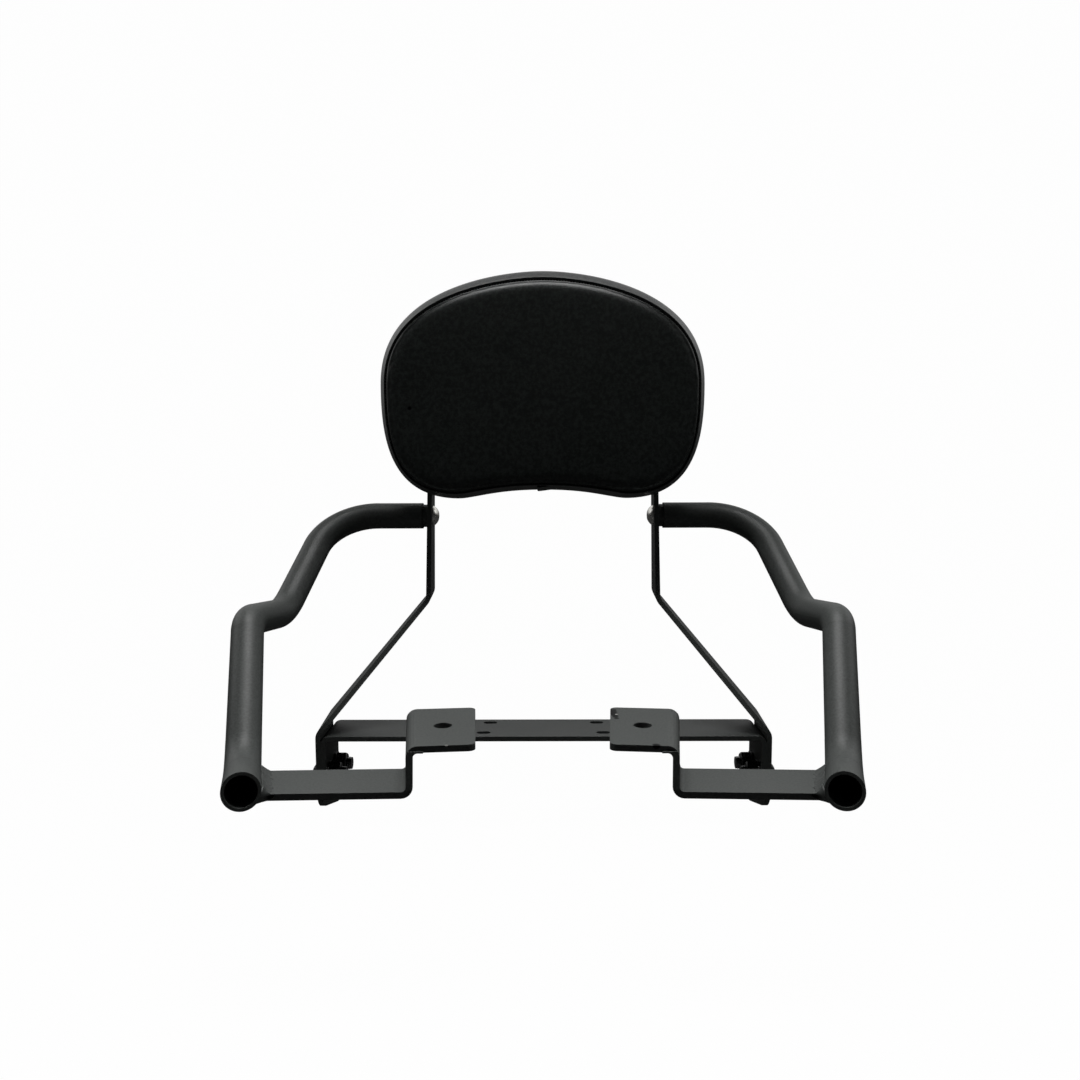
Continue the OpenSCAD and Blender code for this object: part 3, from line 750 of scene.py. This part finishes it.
class BACKREST_OT_pad_cover(bpy.types.Operator):
    """Swollen leatherette cover: the front panel and the sewn border"""

    bl_idname = "backrest.pad_cover"
    bl_label = "Pad Cover"

    def execute(self, context):
        pad = context.scene.backrest_pad
        form = PadForm(pad)
        rings, border, groove = cover_rings(form)
        count = len(rings[0])
        mesh = ring_mesh("pad_whole_cover", rings)
        whole = bpy.data.objects.new("pad_whole_cover", mesh)
        context.scene.collection.objects.link(whole)
        # The rings turned in behind the board and those of the seam stay where they are
        turned_in = 3
        held = [*range(turned_in * count), *range((border - 1) * count, (border + groove + 1) * count)]
        swell(whole, held, pad)
        seam_faces = (border + groove - 2) * count
        border_mesh = part_of(mesh, "pad_border_cover", 0, seam_faces)
        panel_mesh = part_of(mesh, "pad_front_cover", seam_faces, len(mesh.polygons))
        bpy.data.objects.remove(whole)
        # A small pit in the panel, painted dark as its shade
        spot = form.at(Vector((-108.2 * MM, -20.2 * MM)), 43.8 * MM)
        panel_finish = leatherette(pad, "leatherette_panel", 1.0, 0.34, 0.32, spot)
        # The border is a lighter copy of the panel's leatherette: painted light on the pad's sides and lower
        # edge
        border_finish = leatherette(pad, "leatherette_border", 1.25, 0.36, 0.5)
        panel = link("pad_front_cover", panel_mesh, panel_finish, "leatherette_front", "pad_front_panel")
        edge = link(
            "pad_border_cover", border_mesh, border_finish, "leatherette_border", "pad_border", "pad_foam")
        for piece in (panel, edge):
            subdivide(piece, 1)
        return {"FINISHED"}


class BACKREST_OT_pad_stitches(bpy.types.Operator):
    """Thread along the seam"""

    bl_idname = "backrest.pad_stitches"
    bl_label = "Pad Stitches"

    def execute(self, context):
        pad = context.scene.backrest_pad
        form = PadForm(pad, self.stitch_count(pad))
        count = len(form.points)
        forward = (form.to_part.to_3x3() @ Vector((0, 0, 1))).normalized()
        bm = bmesh.new()
        # Height in the groove, distance that each end lies off the seam's line, share of the pitch that shows
        depth, slant, shown = pad.seam_height - 0.7 * MM, 0.85 * MM, 0.6
        for i in range(count):
            here = form.inset(i, form.seam_inset(i) + slant)
            there = form.inset((i + 1) % count, form.seam_inset((i + 1) % count) - slant)
            stitch(bm, form.at(here, depth), form.at(here.lerp(there, shown), depth), forward, pad.thread)
        mesh = mesh_from(bm, "pad_seam_stitches")
        link("pad_seam_stitches", mesh, thread_finish(pad), "leatherette_border")
        return {"FINISHED"}

    @staticmethod
    def stitch_count(pad):
        """Whole stitches that fit round the seam."""
        points = 120
        rough = PadForm(pad, points)
        seam = [rough.inset(i, rough.seam_inset(i)) for i in range(points)]
        around = sum((b - a).length for a, b in zip(seam, seam[1:] + seam[:1]))
        return round(around / pad.stitch_pitch)


class BACKREST_OT_border_join(bpy.types.Operator):
    """Small fold where the border's two ends are sewn together under the pad"""

    bl_idname = "backrest.border_join"
    bl_label = "Border Join"

    def execute(self, context):
        pad = context.scene.backrest_pad
        form = PadForm(pad, 12)
        border = bpy.data.objects["pad_border_cover"]
        cover = BVHTree.FromObject(border, context.evaluated_depsgraph_get())
        up = form.to_part.to_3x3() @ Vector((0, 1, 0))
        # The fold's section: distance across, distance that it stands out of the border
        section = ((-0.4, -0.4), (0.0, 1.1), (0.8, 1.4), (5.0, 0.9), (13.0, -0.3))
        # Rows towards the back, distance between them, first one behind the seam, place left of the middle
        count, spacing, behind, left = 15, 2, 3.2, 4.4
        below = -200 * MM
        bm = bmesh.new()
        rows = []
        for k in range(count):
            row = []
            for across, rise in section:
                low = Vector(((across - left) * MM, below, pad.seam_height - (behind + spacing * k) * MM))
                hit = cover.ray_cast(form.to_part @ low, up)[0]
                row.append(bm.verts.new(hit - up * rise * MM))
            rows.append(row)
        skin(bm, rows, closed=False)
        mesh = mesh_from(bm, "pad_border_join")
        join = link("pad_border_join", mesh, border.data.materials[0], "leatherette_border")
        subdivide(join, 2)
        return {"FINISHED"}


class BACKREST_OT_pad_back(bpy.types.Operator):
    """Back panel, board, screws and tee nuts of the pad"""

    bl_idname = "backrest.pad_back"
    bl_label = "Pad Back"

    def execute(self, context):
        pad = context.scene.backrest_pad
        steel = context.scene.backrest_steel
        paint(["pad_back_panel"], back_cloth(pad))
        paint(["pad_board"], bare_material("plywood", (0.42, 0.29, 0.17), (0.55, 0.41, 0.26), 0.7, 6.0))
        zinc = bright_metal("zinc_plate", steel.zinc, 0.3)
        paint([n for n in NODES if n.startswith(("tee_nut", "pad_screw", "pad_washer"))], zinc)
        return {"FINISHED"}


class BACKREST_OT_frame_coat(bpy.types.Operator):
    """Powder coat on the uprights, plates and rails"""

    bl_idname = "backrest.frame_coat"
    bl_label = "Frame Coat"

    def execute(self, context):
        steel = context.scene.backrest_steel
        coated = ("upright", "cross", "carrier", "rail_tube", "rail_plug")
        paint([n for n in NODES if n.startswith(coated)], powder_coat(steel))
        # Chips: a point of the part, radius in mm, colour; pale is bare steel, dark is painted shade of
        # notches in the edge
        dark, pale = (0.006, 0.006, 0.006), tuple(steel.bare)
        left = [((-0.0560, -0.0386, 0.0), 0.7, pale)]
        # Painted shade: a row of dark spots for the missing wedge at the plate's corner, and a dark one for a
        # nick in its front edge
        right = [((0.0452 + 0.0004 * k, 0.0330 - 0.0036 * k, 0.0), 2.6 - 0.25 * k, dark) for k in range(6)]
        right += [((0.0478, 0.0240, 0.0), 0.8, pale), ((0.0662, -0.0385, 0.0), 1.9, dark)]
        paint(["rail_bracket_left"], powder_coat(steel, "powder_coat_left_plate", left))
        paint(["rail_bracket_right"], powder_coat(steel, "powder_coat_right_plate", right))
        return {"FINISHED"}


class BACKREST_OT_weld_beads(bpy.types.Operator):
    """Rippled beads where each strap meets its rail and where the pad's plate meets the uprights"""

    bl_idname = "backrest.weld_beads"
    bl_label = "Weld Beads"

    def execute(self, context):
        steel = context.scene.backrest_steel
        # Painted shade where each bead wraps round the front edge of its strap
        finish = weld_coat(steel, [((side * 0.1525, -0.0525, -0.0275), 4.5) for side in (-1, 1)])
        form = PadForm(context.scene.backrest_pad, 12)
        strap_ripple, carrier_ripple = 2.1 * MM, 1.9 * MM
        for side, word in ((-1, "left"), (1, "right")):
            path = self.strap_path(side, "rail_tube_" + word, steel)
            name = "rail_weld_bead_" + word
            link(name, bead_mesh(name, path, strap_ripple), finish, "black_powder_coat",
                 "rail_weld_upper_" + word, "rail_weld_lower_" + word)
            path = self.carrier_path(side, "carrier_weld_" + word, form)
            name = "carrier_weld_bead_" + word
            link(name, bead_mesh(name, path, carrier_ripple), finish, "black_powder_coat",
                 "carrier_weld_" + word)
        return {"FINISHED"}

    @staticmethod
    def carrier_path(side, weld_name, form):
        """Up the corner between the rear face of the pad's plate and the upright."""
        low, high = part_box(weld_name)
        corner = high.x if side > 0 else low.x
        foot, head = (form.to_part.inverted() @ Vector((0, 0, z)) for z in (low.z, high.z))
        turn = form.to_part.to_3x3()
        rear_face, leg, steps = -3 * MM, 3.9, 60
        path = []
        for k in range(steps + 1):
            height = foot.y + (head.y - foot.y) * (0.03 + 0.94 * k / steps)
            path.append((form.to_part @ Vector((corner, height, rear_face)),
                         turn @ Vector((-side, 0, 0)) * leg * MM, turn @ Vector((0, 0, -1)) * leg * MM))
        return path

    @staticmethod
    def strap_path(side, tube_name, steel):
        """From the strap's rear edge along its top to the front, round the front edge and back below."""
        tube = BVHTree.FromObject(NODES[tube_name], bpy.context.evaluated_depsgraph_get())
        top, bottom = steel.strap_top, steel.strap_top - steel.strap_thick
        front, back = steel.strap_front, steel.strap_back
        middle = (top + bottom) / 2
        # Stops along each face, side place that the rays start from, length over which the bead grows
        steps, inside, growth = 40, 110 * MM, 14 * MM
        # Each stop: place along the strap, height, share of the turn from its top to its underside
        stops = [(back + (front - back) * k / steps, top, 0) for k in range(steps + 1)]
        stops += [(front - 0.5 * MM, top - 0.3 * MM, 0.2), (front - 0.9 * MM, top - 0.9 * MM, 0.38),
                  (front - 1.1 * MM, middle, 0.5), (front - 0.9 * MM, bottom + 0.9 * MM, 0.62),
                  (front - 0.5 * MM, bottom + 0.3 * MM, 0.8)]
        stops += [(front + (back - front) * k / steps, bottom, 1) for k in range(steps + 1)]
        path = []
        for y, z, turned in stops:
            hit, normal, _, _ = tube.ray_cast(Vector((side * inside, y, z)), Vector((side, 0, 0)))
            if hit is None:
                continue
            angle = math.pi * turned
            way = Vector((0, -math.sin(angle), math.cos(angle)))
            up = (way - normal * way.dot(normal)).normalized()
            ahead = max(0.0, 1 - (y - front) / growth)
            # Legs over the strap and up the tube in mm, on its top, round its front edge and below it
            if turned == 0:
                flat, tall = 7.6, 3.8 + 2.0 * ahead
            elif turned < 1:
                flat, tall = 8.4, 7.0
            else:
                flat, tall = 6.0 + 2 * ahead, 4.6 + 2.4 * ahead
            path.append((hit, Vector((-side, 0, 0)) * flat * MM, up * tall * MM))
        return path


class BACKREST_OT_fasteners(bpy.types.Operator):
    """Bright rail bolts and black tab bolts, washers and nuts"""

    bl_idname = "backrest.fasteners"
    bl_label = "Fasteners"

    def execute(self, context):
        steel = context.scene.backrest_steel
        bright = bright_metal("bright_bolt", steel.bright, 0.22)
        paint([n for n in NODES if n.startswith("rail_bolt")], bright)
        oxide = bright_metal("black_oxide", steel.oxide, 0.2, 0.9)
        paint([n for n in NODES if n.startswith("tab_")], oxide)
        for node in (n for n in NODES if n.startswith("tab_bolt")):
            link(node.replace("bolt", "thread"), self.thread(node, steel), oxide, "black_fastener")
        return {"FINISHED"}

    @staticmethod
    def thread(node, steel):
        """Ridges of the thread round the bolt end that stands out of its nut."""
        low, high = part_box(node)
        nut_low, nut_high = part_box(node.replace("bolt", "nut"))
        middle = (nut_low + nut_high) / 2
        start, end = (nut_low.x, low.x) if middle.x > 0 else (nut_high.x, high.x)
        way = 1 if end > start else -1
        turns = max(2, int(abs(end - start) / steel.thread_pitch))
        # Ridge heights over one pitch, on a root just clear of the plain 10 mm bolt
        ridge, root, sides = (0.0, 0.16, 0.3, 0.16), 5.01 * MM, 32
        bm = bmesh.new()
        rings = []
        for k in range(turns * len(ridge) + 1):
            x = start + way * steel.thread_pitch * k / len(ridge)
            radius = root + ridge[k % len(ridge)] * MM
            rings.append([bm.verts.new((x, middle.y + radius * math.cos(a), middle.z + radius * math.sin(a)))
                          for a in (2 * math.pi * j / sides for j in range(sides))])
        skin(bm, rings)
        return mesh_from(bm, node.replace("bolt", "thread"))


class BACKREST_PT_panel(bpy.types.Panel):
    """Lists the pieces in the sidebar"""

    bl_label = "Backrest"
    bl_idname = "BACKREST_PT_panel"
    bl_space_type = "VIEW_3D"
    bl_region_type = "UI"
    bl_category = "Backrest"

    def draw(self, context):
        for operator in OPERATORS:
            self.layout.operator(operator.bl_idname)
        for group in SETTINGS:
            settings = getattr(context.scene, group)
            box = self.layout.box()
            for name in settings.__annotations__:
                box.prop(settings, name)


OPERATORS = (
    BACKREST_OT_stage, BACKREST_OT_pad_cover, BACKREST_OT_pad_stitches, BACKREST_OT_border_join,
    BACKREST_OT_pad_back, BACKREST_OT_frame_coat, BACKREST_OT_weld_beads, BACKREST_OT_fasteners)
SETTINGS = {"backrest_pad": PadSettings, "backrest_steel": SteelSettings, "backrest_stage": StageSettings}


def register():
    for cls in (*SETTINGS.values(), *OPERATORS, BACKREST_PT_panel):
        bpy.utils.register_class(cls)
    for name, group in SETTINGS.items():
        setattr(bpy.types.Scene, name, PointerProperty(type=group))


def unregister():
    for name in SETTINGS:
        delattr(bpy.types.Scene, name)
    for cls in reversed((*SETTINGS.values(), *OPERATORS, BACKREST_PT_panel)):
        bpy.utils.unregister_class(cls)


def main():
    register()
    bpy.ops.backrest.stage()
    bpy.ops.backrest.pad_cover()
    bpy.ops.backrest.pad_stitches()
    bpy.ops.backrest.border_join()
    bpy.ops.backrest.pad_back()
    bpy.ops.backrest.frame_coat()
    bpy.ops.backrest.weld_beads()
    bpy.ops.backrest.fasteners()


if __name__ == "__main__":
    main()
